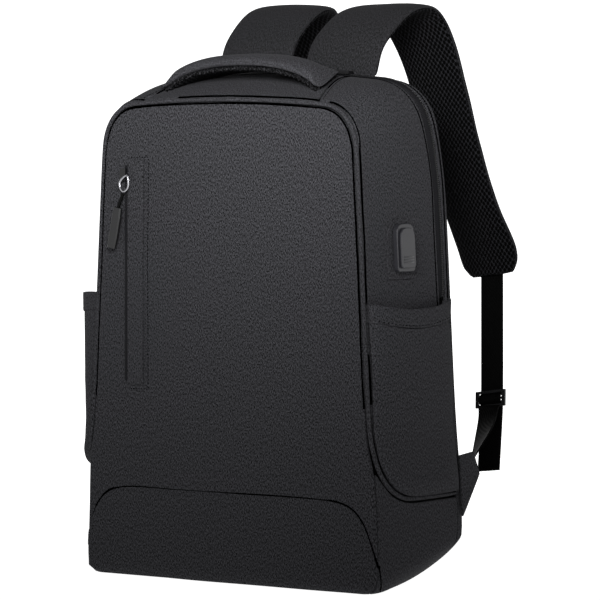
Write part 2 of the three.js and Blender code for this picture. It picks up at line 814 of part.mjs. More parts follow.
function strapEnds(side, label) {
  const { start, end, glidePlace } = webbingPath(side);
  const along = glidePlace.clone().sub(start).normalize();
  const across = vec(1, -lacing.turn * side, 0);
  across.addScaledVector(along, -across.dot(along)).normalize();
  const up = along.clone().cross(across).normalize();
  const frame = { place: glidePlace, along, across, up };
  triGlide(`tri_glide_${label}`, frame);
  const at = (down, out) => glidePlace.clone().addScaledVector(along, down).addScaledVector(up, out);

  // The upper webbing goes through both slots and over the middle bar, and hangs as the tail.
  const over = glide.thick / 2 + webbing.thick / 2 + clearance;
  const reach = glide.bar / 2 + glide.slot;
  const first = start.clone().addScaledVector(along, clearance);
  const tailEnd = vec(
    mix(glidePlace.x, end.x, tail.alongX),
    mix(glidePlace.y, end.y, tail.alongY),
    glidePlace.z - tail.length,
  );
  const route = [
    first, at(-reach - lacing.bend, -over - lacing.slack), at(-reach, -over), at(-glide.bar / 2, over),
    at(glide.bar / 2, over), at(reach, -over), at(reach + lacing.bend, -over - 2 * lacing.slack), tailEnd,
  ];
  flatBand(`strap_webbing_${label}`, route, () => across.clone());

  // The lower webbing is held at the low bar's face and turns as it goes down to the wing.
  const from = at(reach + 1, over + lacing.slack);
  const last = end.clone().add(vec(0, wing.hold.back, wing.hold.up));
  const hang = from.clone().lerp(last, 0.6).add(vec(0, lacing.sag - 1, -lacing.sag));
  const knots = [from, at(reach + lacing.lowBend, over + lacing.lowSlack), hang, last];
  const lower = new THREE.CatmullRomCurve3(knots, false, 'centripetal').getPoints(6);
  const lowerAcross = (share) => vec(1, -side * mix(lacing.turn, 1.1, share), mix(0, 0.3, share) * side);
  flatBand(`lower_webbing_${label}`, lower, lowerAcross);
}

// A flat band along straight runs, with its width direction given at each corner.
function flatBand(name, route, acrossAt) {
  const frames = route.map((place, k) => {
    const before = route[Math.max(k - 1, 0)];
    const after = route[Math.min(k + 1, route.length - 1)];
    const along = after.clone().sub(before).normalize();
    const across = acrossAt(k / (route.length - 1));
    across.addScaledVector(along, -across.dot(along)).normalize();
    return { place, along, across, up: across.clone().cross(along).normalize() };
  });
  sweep(name, frames, flatSection(webbing.width, webbing.thick), band);
}

function strapWing(name, side) {
  const baseY = bag.depth / 2 - rear.band + wing.tuck;
  const tipY = bag.depth / 2 + wing.length;
  const tip = [[tipY, wing.tipLow], [tipY - wing.slant, wing.tipHigh]];
  const profile = [[baseY, wing.low], ...tip, [baseY, wing.high]];
  const rings = profile.map(([y, z]) => {
    const heldY = Math.min(y, bag.depth / 2);
    const x = side * (gusset(1, sAtHeight(heldY, z), heldY).x + clearance + wing.off);
    return [vec(x, y, z), vec(x + side * wing.thick, y, z)];
  });
  const points = rings.flat();
  const triangles = [[0, 2, 4], [0, 4, 6], [1, 5, 3], [1, 7, 5]];
  for (let k = 0; k < 4; k += 1) {
    const [a, b] = [2 * k, 2 * ((k + 1) % 4)];
    triangles.push([a, b + 1, b], [a, a + 1, b + 1]);
  }
  addSolid(name, points, triangles, cloth);
}

// The hidden zip pocket on the front.

function onFront(x, z, out) {
  return vec(x, frontFaceY(x, z) - out, z);
}

function frontStrip(name, xLow, xHigh, zLow, zHigh, thick, look) {
  const surface = (a, b) => onFront(mix(xLow, xHigh, a), mix(zLow, zHigh, b), clearance + thick);
  panel(name, surface, 2, 8, thick, look);
}

function frontPocket() {
  const left = welt.x - welt.wide / 2;
  frontStrip('front_zip_welt', left, welt.x + welt.wide / 2, welt.low, welt.high, welt.thick, cloth);
  const [low, high] = [welt.low + frontZip.ends, welt.high - frontZip.ends];
  const right = left - clearance;
  frontStrip('front_zip_tape', right - frontZip.width, right, low, high, frontZip.thick, band);
}

// The wire's bends, in shares of the loop's width from its left and of its height from its foot.
const loopBends = [[0.8, 1], [0, 0.6], [0, 0.27], [0.4, 0], [0.9, 0.2], [1, 0.53]];

function frontSlider() {
  const xEdge = welt.x - welt.wide / 2 - clearance;
  const x = xEdge - frontZip.width / 2;
  const lift = 2 * clearance + frontZip.thick + frontZip.sliderThick;
  const surface = (a, b) => onFront(
    mix(xEdge - frontZip.sliderWide, xEdge, a),
    mix(frontZip.sliderTop - frontZip.sliderTall, frontZip.sliderTop, b),
    lift,
  );
  panel('front_zip_slider', surface, 2, 2, frontZip.sliderThick, plastic);

  // The wire loop, the cord and the grip hang from it to the lower left.
  const ring = loopBends.map(([across, up]) => onFront(
    x - pull.loopSide + across * pull.loopWide,
    frontZip.sliderTop - pull.loopDrop - (1 - up) * pull.loopTall,
    lift + clearance + pull.wire,
  ));
  const wireCurve = new THREE.CatmullRomCurve3(ring, true, 'centripetal');
  const wireRings = framesAlong(wireCurve, 18, () => vec(0, 1, 0)).slice(0, -1).map((frame) => (
    roundSection(pull.wire, 6)().map(([a, b]) =>
      frame.place.clone().addScaledVector(frame.across, a).addScaledVector(frame.up, b))
  ));
  loft('front_zip_wire', wireRings, metal, true);

  const lowest = ring[3].clone();
  const gripTop = lowest.clone().add(vec(-pull.cordSway, -1, -pull.cordFall));
  const gripEnd = gripTop.clone().add(vec(-pull.gripSway, 0.5, -pull.gripTall));
  const start = lowest.clone().add(vec(-0.6, 0, -pull.wire - pull.cord / 2 - clearance));
  const cordCurve = new THREE.LineCurve3(start, gripTop.clone().add(vec(0.1, 0, clearance)));
  const cordFrames = framesAlong(cordCurve, 4, () => vec(0, 1, 0));
  sweep('front_zip_pull_cord', cordFrames, roundSection(pull.cord, 6), band);
  const gripCurve = new THREE.LineCurve3(gripTop, gripEnd);
  const gripSection = (share) => {
    const half = (pull.gripWide / 2) * (1 - 0.12 * Math.abs(2 * share - 1) ** 4);
    const thin = pull.gripThick / 2;
    const cut = pull.chamfer;
    return [[-thin, -half + cut], [-thin + cut, -half], [thin - cut, -half], [thin, -half + cut],
      [thin, half - cut], [thin - cut, half], [-thin + cut, half], [-thin, half - cut]];
  };
  sweep('front_zip_pull_grip', framesAlong(gripCurve, 4, () => vec(0, 1, 0)), gripSection, rubber);
}

// The main zip's slider at the top, with its tab lying on the tape.

function mainSlider() {
  const piece = (from, to, edge, lift) => (a, b) => {
    const s = sAtTopX(zipFrontY(5), mainPull.x + mix(from, to, a));
    return gusset(1, s, mix(zipFrontY(s) + edge, zipBackY(s) - edge, b), lift);
  };
  const half = mainPull.slider / 2;
  const low = rear.coil + clearance;
  const sliderFace = piece(-half, half, mainPull.edge, low + mainPull.thick);
  panel('main_zip_slider', sliderFace, 3, 2, mainPull.thick, plastic);
  const tabEnd = -half - mainPull.tabGap;
  const tabFace = piece(tabEnd - mainPull.tab, tabEnd, mainPull.tabEdge, low + mainPull.tabThick + clearance);
  panel('main_zip_tab', tabFace, 2, 2, mainPull.tabThick, metal);
}

// The USB port on the right side: a cloth patch, a housing and its cover.

function sideSkinX(y, z) {
  return gusset(1, sAtHeight(y, z), y).x;
}

function usbPort() {
  const archSteps = 8;
  const patch = (a, b) => {
    const half = usb.patchWide / 2;
    const across = 2 * a - 1;
    const top = usb.z + usb.patchTall / 2 - half + half * Math.sqrt(Math.max(0, 1 - (across * 0.98) ** 2));
    const z = mix(usb.z - usb.patchTall / 2, top, b);
    const y = usb.y + across * half;
    return vec(sideSkinX(y, z) + clearance + usb.patchThick, y, z);
  };
  panel('usb_patch', patch, archSteps, 6, usb.patchThick, cloth);
  const body = (name, wide, tall, lift, proud, look) => {
    const skin = Math.max(...[-1, 0, 1].map((share) => sideSkinX(usb.y + (share * wide) / 2, usb.z)));
    const shape = new THREE.Shape();
    const half = wide / 2;
    const low = -tall / 2;
    const high = tall / 2;
    shape.moveTo(-half, low + usb.lowCorner);
    shape.quadraticCurveTo(-half, low, -half + usb.lowCorner, low);
    shape.lineTo(half - usb.lowCorner, low);
    shape.quadraticCurveTo(half, low, half, low + usb.lowCorner);
    shape.lineTo(half, high - usb.topCorner);
    shape.quadraticCurveTo(half, high, half - usb.topCorner + 1, high);
    shape.lineTo(-half + usb.topCorner - 1, high);
    shape.quadraticCurveTo(-half, high, -half, high - usb.topCorner);
    const geometry = new THREE.ExtrudeGeometry(shape, {
      depth: proud - 2 * usb.edge,
      bevelEnabled: true,
      bevelThickness: usb.edge,
      bevelSize: usb.edge,
      bevelSegments: 1,
      curveSegments: 3,
    });
    geometry.rotateX(Math.PI / 2);
    geometry.rotateZ(Math.PI / 2);
    geometry.rotateY(-Math.atan(bag.taper));
    geometry.translate(skin + 2 * clearance + usb.patchThick + lift + usb.edge, usb.y, usb.z);
    const solid = new THREE.Mesh(geometry, new THREE.MeshStandardMaterial(look));
    solid.name = name;
    group.add(solid);
  };
  const seat = usb.proud - usb.cover - clearance;
  body('usb_housing', usb.wide - 2 * usb.edge, usb.tall - 2 * usb.edge, 0, seat, plastic);
  body('usb_cover', usb.wide - 2 * usb.sides, usb.tall - 2 * usb.ends, seat + clearance, usb.cover, rubber);
}

frontPanel();
bootPanel();
basePanel();
frontPiping();
topGusset();
backBand();
backPanel();
rearStrip('main_zip', zipFrontY, (s) => zipBackY(s) - rearGap, rear.coil, band);
mainSlider();
handleLayer('grab_handle', 0.3, handle.clothThick, 0, handle.keepCloth, cloth);
handleLayer('grab_handle_mesh', -handle.meshThick, -0.1, 1, handle.keepMesh, mesh);
frontPocket();
frontSlider();
usbPort();
for (const [label, side] of [['right', 1], ['left', -1]]) {
  sideLower(`side_lower_${label}`, side);
  sideGusset(`side_gusset_${label}`, side);
  sidePocket(`side_pocket_${label}`, side);
  pocketHem(`pocket_hem_${label}`, side);
  strapLayer(`shoulder_strap_${label}`, side, 0.3, strap.clothThick, cloth);
  strapLayer(`shoulder_strap_mesh_${label}`, side, -0.1, -strap.meshThick, mesh);
  strapEnds(side, label);
  strapWing(`strap_wing_${label}`, side);
}

export default group;
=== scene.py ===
import math

import bpy
import numpy as np
from mathutils import Matrix, Vector, noise
from mathutils.bvhtree import BVHTree


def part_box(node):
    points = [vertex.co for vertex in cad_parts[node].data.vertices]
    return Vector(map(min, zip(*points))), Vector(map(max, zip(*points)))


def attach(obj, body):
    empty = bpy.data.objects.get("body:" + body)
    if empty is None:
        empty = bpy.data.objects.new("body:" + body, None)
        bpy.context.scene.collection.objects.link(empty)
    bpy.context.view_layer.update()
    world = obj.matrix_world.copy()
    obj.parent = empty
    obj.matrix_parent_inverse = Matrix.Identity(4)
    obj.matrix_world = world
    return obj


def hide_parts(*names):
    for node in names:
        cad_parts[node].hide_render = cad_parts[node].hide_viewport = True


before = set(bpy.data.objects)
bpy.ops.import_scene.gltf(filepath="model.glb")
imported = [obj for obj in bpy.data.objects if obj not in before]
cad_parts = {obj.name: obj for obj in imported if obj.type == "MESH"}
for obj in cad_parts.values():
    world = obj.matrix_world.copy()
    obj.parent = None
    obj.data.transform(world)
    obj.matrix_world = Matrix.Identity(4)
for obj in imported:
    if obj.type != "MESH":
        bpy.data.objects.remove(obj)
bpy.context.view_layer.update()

MM = 0.001
BODY = "root"

# Driving sizes, in millimetres, that the sewing lines follow
HEIGHT = 462
FRONT_HEIGHT = 441
HALF_WIDTH = 165.5
TAPER = 0.054
BELLY, BELLY_HEIGHT, BELLY_REACH = 3.5, 78, 75
DEPTH = 138
BACK_LEAN = 27
LEAN_START = 350
ARCH_DROP = 4
TOP_SWELL = 9
SIDE_SWELL = 3
FRONT_Y = -DEPTH / 2
ZIP_BAND = 9
ZIP_WIDE = 11
ZIP_LOW = 2.52  # where the side pocket covers the zip, along the outline
PIPE_IN = 2.0  # the piping's middle, inside the corner of the front and the band
PIPE_CREASE = 2.9  # from its middle to the creases beside it
PIPE_CORNER = 0.9  # how much further they stand at the top corners
PIPE_LOW = 2.24  # where the creases start, along the outline
PIPE_TURN = 2.39  # where the piping turns from the front to the side
CORNERS = {  # width, height and squareness of the outline's corners
    "front_low": (11, 18, 2),
    "back_low": (62, 44, 1.29),
    "front_top": (38, 44, 2.15),
    "back_top": (44, 44, 2.5),
}
LOW_HOLD = 0.14  # share of the depth over which the low corner stays as it is in front
HEM_HEIGHT = 259
HEM_DIP = 7
HEM_TALL = 17
HEM_LIFT_LEFT = 2.5
HEM_FRONT = -64.5
HEM_DEEP = 123.5
HEM_STITCH = 2.2  # the stitches over the hem's low edge
FLAP_LEFT, FLAP_RIGHT = -110, -88.2
FLAP_LOW, FLAP_HIGH = 174, 386
ZIP_SEAM_FRONT = 5.5  # seams beside the main zip, from its edges
ZIP_SEAM_BACK = 3.5
ZIP_STITCH_BACK = 2.5
REACH = 40  # how far off the bag a stitch starts its way to the cloth
SHOULDER = 420  # over this height stitches are pressed toward the bag's middle
MIDDLE = 235


# Selecting and finishing

def pick(piece):
    for item in bpy.context.selected_objects:
        item.select_set(False)
    piece.select_set(True)
    bpy.context.view_layer.objects.active = piece


def points_of(piece, what="co"):
    flat = np.zeros(len(piece.data.vertices) * 3)
    piece.data.vertices.foreach_get(what, flat)
    return flat.reshape(-1, 3)


def move_points(piece, points):
    piece.data.vertices.foreach_set("co", points.astype(np.float32).ravel())
    piece.data.update()


def apply_modifier(piece, kind, **settings):
    pick(piece)
    modifier = piece.modifiers.new(kind.title(), kind)
    for key, value in settings.items():
        setattr(modifier, key, value)
    bpy.ops.object.modifier_apply(modifier=modifier.name)


def smooth(piece, angle=40):
    pick(piece)
    bpy.ops.object.shade_smooth_by_angle(angle=math.radians(angle))


def lay_cloth_map(piece):
    """Gives the piece a UV map in millimetres, laid flat on whichever way each face looks."""
    mesh = piece.data
    layer = mesh.uv_layers.new(name="cloth_mm")
    points = points_of(piece) / MM
    count = len(mesh.loops)
    corner = np.zeros(count, int)
    mesh.loops.foreach_get("vertex_index", corner)
    face_normals = np.zeros(len(mesh.polygons) * 3)
    mesh.polygons.foreach_get("normal", face_normals)
    face_normals = np.abs(face_normals.reshape(-1, 3))
    sizes = np.zeros(len(mesh.polygons), int)
    mesh.polygons.foreach_get("loop_total", sizes)
    facing = np.repeat(face_normals.argmax(1), sizes)
    across = np.where(facing == 0, 1, 0)
    up = np.where(facing == 2, 1, 2)
    place = points[corner]
    rows = np.arange(count)
    uv = np.stack([place[rows, across], place[rows, up]], 1)
    layer.data.foreach_set("uv", uv.astype(np.float32).ravel())


def finish_piece(piece, material, slot, *nodes):
    piece.data.materials.clear()
    piece.data.materials.append(material)
    if nodes:
        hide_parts(*nodes)
    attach(piece, BODY)
    return piece


def copy_node(node, name):
    """A new piece with a node's mesh: its loose triangles joined and turned into quads."""
    piece = bpy.data.objects.new(name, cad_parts[node].data.copy())
    bpy.context.scene.collection.objects.link(piece)
    pick(piece)
    bpy.ops.object.mode_set(mode="EDIT")
    bpy.ops.mesh.select_all(action="SELECT")
    bpy.ops.mesh.customdata_custom_splitnormals_clear()
    bpy.ops.mesh.remove_doubles(threshold=0.01 * MM)
    bpy.ops.mesh.tris_convert_to_quads(face_threshold=math.radians(50), shape_threshold=math.radians(70))
    bpy.ops.object.mode_set(mode="OBJECT")
    return piece


def crease_edges(piece, angle, value):
    pick(piece)
    bpy.ops.object.mode_set(mode="EDIT")
    bpy.ops.mesh.select_mode(type="EDGE")
    bpy.ops.mesh.select_all(action="DESELECT")
    bpy.ops.mesh.edges_select_sharp(sharpness=math.radians(angle))
    bpy.ops.transform.edge_crease(value=value)
    bpy.ops.object.mode_set(mode="OBJECT")


def sewn_panel(node, name, material, slot="shell_cloth", edge=1.1, levels=2, relief=None, edge_angle=52,
               crease=0.0, swell=0.0, shape=None):
    """A panel of cloth: rounded along its sewn edges, smoothed, and given its soft unevenness."""
    piece = copy_node(node, name)
    if crease:
        crease_edges(piece, 38, crease)
    if edge:
        apply_modifier(
            piece, "BEVEL", width=edge * MM, segments=2, limit_method="ANGLE",
            angle_limit=math.radians(edge_angle), use_clamp_overlap=True,
        )
    apply_modifier(piece, "SUBSURF", levels=levels, render_levels=levels)
    points, normals = points_of(piece), points_of(piece, "normal")
    move = np.full(len(points), float(swell))
    if relief:
        move += [relief(p / MM, n) for p, n in zip(points, normals)]
    move_points(piece, points + normals * move[:, None] * MM)
    if shape:
        move_points(piece, np.array([shape(*(p / MM)) for p in points_of(piece)]) * MM)
    smooth(piece)
    lay_cloth_map(piece)
    return finish_piece(piece, material, slot, node)


def soft_waves(height, size, seed):
    """Unevenness of cloth over foam, in millimetres, with swells about size wide."""
    def relief(point, normal):
        place = Vector(point) / size + Vector((seed, 0, 0))
        return height * noise.noise(place)
    return relief


# The outline of the body, as it is cut

def half_width(z):
    """Half the body's width at a height, with the fullness of its lower part."""
    off = min(abs(z - BELLY_HEIGHT) / BELLY_REACH, 1)
    return HALF_WIDTH - TAPER * z + BELLY * (1 - off ** 2) ** 2


def back_y(z):
    """The back edge at a height: upright below, and leaning forward at the top."""
    lean = clamp((z - LEAN_START) / (HEIGHT - LEAN_START))
    return DEPTH / 2 - BACK_LEAN * lean ** 2


def clamp(value):
    return min(max(value, 0), 1)


def blend(a, b, share):
    return [x + (y - x) * share for x, y in zip(a, b)]


def outline(share, s, inset=0.0):
    """Half of the outline: s goes to 2 round the low corner, to 3 up the side, to 4 round the top corner."""
    held = clamp((share - LOW_HOLD) / (1 - LOW_HOLD))
    low_wide, low_tall, low_power = blend(CORNERS["front_low"], CORNERS["back_low"], held)
    top_wide, top_tall, top_power = blend(CORNERS["front_top"], CORNERS["back_top"], share)
    height = FRONT_HEIGHT + (HEIGHT - FRONT_HEIGHT) * share
    shoulder = height - ARCH_DROP - top_tall
    low_u = 1 - (low_wide - inset) / (half_width(low_tall) - inset)
    top_u = 1 - (top_wide - inset) / (half_width(shoulder) - inset)
    u, z = 1.0, 0.0
    if s <= 1:
        u, z = low_u * s, inset
    elif s <= 2:
        angle = (s - 1) * math.pi / 2
        u = low_u + (1 - low_u) * math.sin(angle) ** (2 / low_power)
        z = low_tall - (low_tall - inset) * max(math.cos(angle), 0) ** (2 / low_power)
    elif s <= 3:
        z = low_tall + (shoulder - low_tall) * (s - 2)
    elif s <= 4:
        angle = (s - 3) * math.pi / 2
        u = top_u + (1 - top_u) * max(math.cos(angle), 0) ** (2 / top_power)
        z = shoulder + (top_tall - inset) * math.sin(angle) ** (2 / top_power)
    else:
        u = top_u * (5 - s)
        z = height - inset - ARCH_DROP * (5 - s) ** 2
    return u * (half_width(z) - inset), z


def swell_at(s):
    """How far the band bulges outward at a place along the outline."""
    if s <= 1:
        return 0
    if s <= 2:
        return SIDE_SWELL * (s - 1)
    if s <= 3:
        return SIDE_SWELL
    if s <= 4:
        return SIDE_SWELL + (TOP_SWELL - SIDE_SWELL) * (s - 3)
    return TOP_SWELL


def back_y_on(s):
    return back_y(outline(1, s)[1])


def gusset(side, s, y):
    """A point on the band round the bag, in millimetres."""
    share = clamp((y - FRONT_Y) / (back_y_on(s) - FRONT_Y))
    swell = swell_at(s) * math.sin(math.pi * share)
    x, z = outline(share, s, -swell)
    return Vector((side * x, y, z))


# Materials

def srgb(code):
    """The linear colour of an sRGB hex value."""
    channels = [int(code[k:k + 2], 16) / 255 for k in (1, 3, 5)]
    linear = [c / 12.92 if c <= 0.04045 else ((c + 0.055) / 1.055) ** 2.4 for c in channels]
    return (*linear, 1.0)


def add(tree, kind, inputs=None, **settings):
    """Adds a node with its settings, and gives each input its value or its link."""
    made = tree.nodes.new(kind)
    for key, value in settings.items():
        setattr(made, key, value)
    for key, value in (inputs or {}).items():
        if isinstance(value, bpy.types.NodeSocket):
            tree.links.new(value, made.inputs[key])
        else:
            made.inputs[key].default_value = value
    return made


def new_material(name):
    material = bpy.data.materials.new(name)
    material.use_nodes = True
    material.node_tree.nodes.clear()
    return material, material.node_tree


def close_material(tree, inputs):
    shader = add(tree, "ShaderNodeBsdfPrincipled", inputs)
    add(tree, "ShaderNodeOutputMaterial", {"Surface": shader.outputs["BSDF"]})


def cloth_place(tree):
    """The cloth map, whose unit is one millimetre."""
    return add(tree, "ShaderNodeUVMap", uv_map="cloth_mm").outputs["UV"]


def two_colours(tree, share, low, high):
    """The colour that goes from one hex value to another with a share."""
    colours = {"Factor": share, 6: srgb(low), 7: srgb(high)}
    return add(tree, "ShaderNodeMix", colours, data_type="RGBA").outputs[2]


def raised(tree, height, strength, deep):
    """The surface direction of a relief that is deep millimetres at most."""
    relief = {"Height": height, "Strength": strength, "Distance": deep * MM}
    return add(tree, "ShaderNodeBump", relief).outputs["Normal"]


def two_tone_cloth(name, dark, light, speck=0.95):
    """Two-tone polyester canvas: black and grey yarns make a fine charcoal mottle with light specks."""
    material, tree = new_material(name)
    place = cloth_place(tree)
    slub = add(tree, "ShaderNodeMapping", {
        "Vector": place, "Scale": (1.0, 0.5, 1.0), "Rotation": (0, 0, 0.75),
    })
    yarn = add(tree, "ShaderNodeTexNoise", {
        "Vector": slub.outputs["Vector"], "Scale": 1 / speck, "Detail": 2.0, "Roughness": 0.65,
    })
    tone = add(tree, "ShaderNodeMapRange", {"Value": yarn.outputs["Fac"], "From Min": 0.36, "From Max": 0.68})
    close_material(tree, {
        "Base Color": two_colours(tree, tone.outputs["Result"], dark, light), "Roughness": 0.9,
        "Normal": raised(tree, yarn.outputs["Fac"], 0.35, 0.4), "Sheen Weight": 0.01,
        "Sheen Roughness": 0.5, "Sheen Tint": srgb("#d2d2d8"), "Specular IOR Level": 0.05,
    })
    return material


def air_mesh(name, painted_hole_shade, rib, pitch=3.4, slant=0.7):
    """Polyester spacer mesh: rows of open cells, with painted shade in their holes and a painted highlight, a
    lighter grey, on their ribs.
    """
    material, tree = new_material(name)
    place = cloth_place(tree)
    cells = add(tree, "ShaderNodeMapping", {
        "Vector": place, "Scale": (1 / pitch, 0.8 / pitch, 1.0), "Rotation": (0, 0, slant),
    })
    holes = add(tree, "ShaderNodeTexVoronoi", {
        "Vector": cells.outputs["Vector"], "Scale": 1.0, "Randomness": 0.12,
    }, voronoi_dimensions="2D")
    wall = add(tree, "ShaderNodeMapRange", {
        "Value": holes.outputs["Distance"], "From Min": 0.36, "From Max": 0.56,
    }).outputs["Result"]
    # the holes take the painted shade colour and the ribs the lighter painted highlight colour
    close_material(tree, {
        "Base Color": two_colours(tree, wall, painted_hole_shade, rib), "Roughness": 0.8,
        "Normal": raised(tree, wall, 0.9, 0.9), "Sheen Weight": 0.002, "Specular IOR Level": 0.02,
    })
    return material


def woven_band(name, base, ridge, rib=1.6):
    """Nylon webbing: flat ribs across its width, a little shiny on their tops."""
    material, tree = new_material(name)
    place = cloth_place(tree)
    ribs = add(tree, "ShaderNodeTexWave", {
        "Vector": place, "Scale": 0.31 / rib, "Distortion": 0.6,
    }, bands_direction="DIAGONAL").outputs["Fac"]
    close_material(tree, {
        "Base Color": two_colours(tree, ribs, base, ridge), "Roughness": 0.62,
        "Normal": raised(tree, ribs, 0.5, 0.3), "Sheen Weight": 0.002, "Specular IOR Level": 0.03,
    })
    return material


def moulded(name, colour, roughness, grain=0.25, shine=0.3):
    """A moulded part: satin, with the faint orange peel of its mould."""
    material, tree = new_material(name)
    place = add(tree, "ShaderNodeTexCoord").outputs["Object"]
    peel = add(tree, "ShaderNodeTexNoise", {"Vector": place, "Scale": 900.0, "Detail": 2.0})
    wear = add(tree, "ShaderNodeTexNoise", {"Vector": place, "Scale": 60.0, "Detail": 3.0})
    rough = add(tree, "ShaderNodeMapRange", {
        "Value": wear.outputs["Fac"], "To Min": roughness - 0.06, "To Max": roughness + 0.1,
    })
    close_material(tree, {
        "Base Color": srgb(colour), "Roughness": rough.outputs["Result"],
        "Normal": raised(tree, peel.outputs["Fac"], grain, 0.15), "Specular IOR Level": shine,
    })
    return material


def plated(name, colour, roughness):
    """Nickel-plated steel wire and stampings: bright, with fine polishing marks."""
    material, tree = new_material(name)
    place = add(tree, "ShaderNodeTexCoord").outputs["Object"]
    marks = add(tree, "ShaderNodeTexNoise", {"Vector": place, "Scale": 400.0, "Detail": 4.0})
    rough = add(tree, "ShaderNodeMapRange", {
        "Value": marks.outputs["Fac"], "To Min": roughness * 0.6, "To Max": roughness * 1.5,
    })
    close_material(tree, {"Base Color": srgb(colour), "Metallic": 1.0, "Roughness": rough.outputs["Result"]})
    return material


canvas = two_tone_cloth("two_tone_polyester_canvas", "#020202", "#343437")
strap_canvas = two_tone_cloth("two_tone_canvas_over_foam", "#030303", "#222224")
spacer_mesh = air_mesh("polyester_spacer_mesh", "#000000", "#151517")
edge_mesh = air_mesh("polyester_spacer_mesh_edge", "#020202", "#232325", 2.2)
# a lighter copy of the strap mesh: its light grey ribs are painted light for the dimly lit back of the bag
back_mesh_painted_light = air_mesh("polyester_spacer_mesh_back_painted_light", "#020202", "#3a3a3d", 3.4)
webbing = woven_band("woven_nylon_webbing", "#000000", "#020202")
zip_tape = woven_band("woven_zip_tape", "#080809", "#161618", 0.9)
cord_braid = woven_band("braided_nylon_cord", "#030303", "#0d0d0e", 1.0)
lining_taffeta = woven_band("black_lining_taffeta", "#010101", "#020202", 1.0)
acetal = moulded("moulded_acetal", "#040405", 0.42)
soft_rubber = moulded("moulded_tpu_rubber", "#0b0b0c", 0.42)
port_rubber = moulded("moulded_grey_tpu", "#1b1b1e", 0.36)
nickel = plated("nickel_plated_steel", "#9a9a9e", 0.22)
# the same black material colours both the real stitches and the painted shade lines in the seams' creases
thread_and_crease_shade = moulded("polyester_thread_and_crease_shade", "#000000", 0.9, 0.5, 0.0)


# Body panels

SIDE_PANELS = (  # node, name, rounding of its edges, and the height, width and seed of its waves
    ("side_gusset", "side_cloth", 1.1, 1.2, 70, 11),
    ("side_lower", "low_side_cloth", 1.1, 0.8, 60, 21),
    ("side_pocket", "pocket_cloth", 0.5, 1.6, 55, 31),
    ("pocket_hem", "pocket_hem_cloth", 1.0, 0.8, 30, 41),
)
sewn_panel("front_panel", "front_cloth", canvas, relief=soft_waves(1.0, 85, 3))
sewn_panel("boot_panel", "boot_cloth", canvas, relief=soft_waves(0.8, 80, 9))
sewn_panel("base_panel", "base_cloth", canvas, edge=0.8)
sewn_panel("front_piping", "front_piping_cord", canvas, edge=0, levels=1)
sewn_panel("top_gusset", "top_cloth", canvas, relief=soft_waves(0.6, 60, 5))
sewn_panel("back_band", "back_band_cloth", canvas, edge=0.8, levels=1)
sewn_panel("front_zip_welt", "front_zip_flap", canvas, edge=0.5)
sewn_panel("usb_patch", "port_patch_cloth", canvas, edge=0.3)
sewn_panel("main_zip", "main_zip_tapes", zip_tape, "zip", edge=0, levels=1)
sewn_panel("front_zip_tape", "front_zip_edge", zip_tape, "zip", edge=0.3)
for number, side in enumerate(("right", "left")):
    for node, name, edge, height, size, seed in SIDE_PANELS:
        waves = soft_waves(height, size, seed + number)
        sewn_panel(f"{node}_{side}", f"{name}_{side}", canvas, edge=edge, relief=waves)
    sewn_panel(f"strap_wing_{side}", f"wing_cloth_{side}", canvas, edge=0.9, levels=1)


# Padded pieces

def padded_piece(node, name, material, slot, relief=None, levels=2, fill=0.6, **more):
    """A sewn piece with foam in it, that keeps its edges' creases."""
    piece = sewn_panel(node, name, material, slot, edge=0, levels=levels, relief=relief, **more)
    return piece


TOP_SEAM = (98, 68)  # half the top panel's width at the front and at the zip
TOP_SEAM_FRONT, TOP_SEAM_DEEP = -64.7, 91
HANDLE_END = 100.2
HANDLE_FLAT = 0.78  # share of the handle's half length from which it is pressed flat
RIB_PITCH = 5.2


def skin_height(x, y):
    """Height of the bag's top at a place."""
    share = clamp((y - FRONT_Y) / (back_y_on(5) - FRONT_Y))
    top_wide, top_tall, _ = blend(CORNERS["front_top"], CORNERS["back_top"], share)
    height = FRONT_HEIGHT + (HEIGHT - FRONT_HEIGHT) * share
    inset = -TOP_SWELL * math.sin(math.pi * share)
    top_u = 1 - (top_wide - inset) / (half_width(height - ARCH_DROP - top_tall) - inset)
    return gusset(1, 5 - abs(x) / (top_u * (half_width(HEIGHT) - inset)), y).z


def sewn_ends(over):
    """Draws the handle's ends in to the slanting seams beside the top panel, and lays them flat there."""
    def shape(x, y, z):
        back = clamp((y - TOP_SEAM_FRONT) / TOP_SEAM_DEEP)
        seam = TOP_SEAM[0] + (TOP_SEAM[1] - TOP_SEAM[0]) * back
        reach = abs(x) / HANDLE_END
        x *= 1 - (1 - (seam + 0.5) / HANDLE_END) * reach ** 3
        flat = clamp((reach - HANDLE_FLAT) / (1 - HANDLE_FLAT)) ** 1.5
        low = skin_height(x, y) + over
        return x, y, z + (min(z, low) - z) * flat
    return shape


def handle_ribs(point, normal):
    """The slanting ribs of the mesh under the handle."""
    return 0.8 + 0.9 * math.sin(2 * math.pi * (point[0] + 0.4 * point[1]) / RIB_PITCH)


padded_piece("back_panel", "back_pad", back_mesh_painted_light, "air_mesh", soft_waves(1.0, 60, 51), levels=3)
padded_piece("grab_handle", "handle_pad", canvas, "shell_cloth", soft_waves(0.8, 35, 61), fill=0.7, levels=3,
             crease=0.35, swell=0.9, shape=sewn_ends(4.5))
padded_piece("grab_handle_mesh", "handle_mesh_edge", edge_mesh, "air_mesh", handle_ribs, fill=0.7, levels=3,
             shape=sewn_ends(1.5))
for number, side in enumerate(("right", "left")):
    padded_piece(f"shoulder_strap_{side}", f"strap_cloth_{side}", strap_canvas, "shell_cloth",
                 soft_waves(0.8, 40, 71 + number), crease=0.55, swell=0.9)
    padded_piece(f"shoulder_strap_mesh_{side}", f"strap_mesh_{side}", spacer_mesh, "air_mesh",
                 soft_waves(0.8, 40, 81 + number), crease=0.3, swell=0.5)
    sewn_panel(f"strap_webbing_{side}", f"webbing_long_{side}", webbing, "webbing", edge=0, crease=1.0)
    sewn_panel(f"lower_webbing_{side}", f"webbing_low_{side}", webbing, "webbing", edge=0, crease=1.0)


# The lining

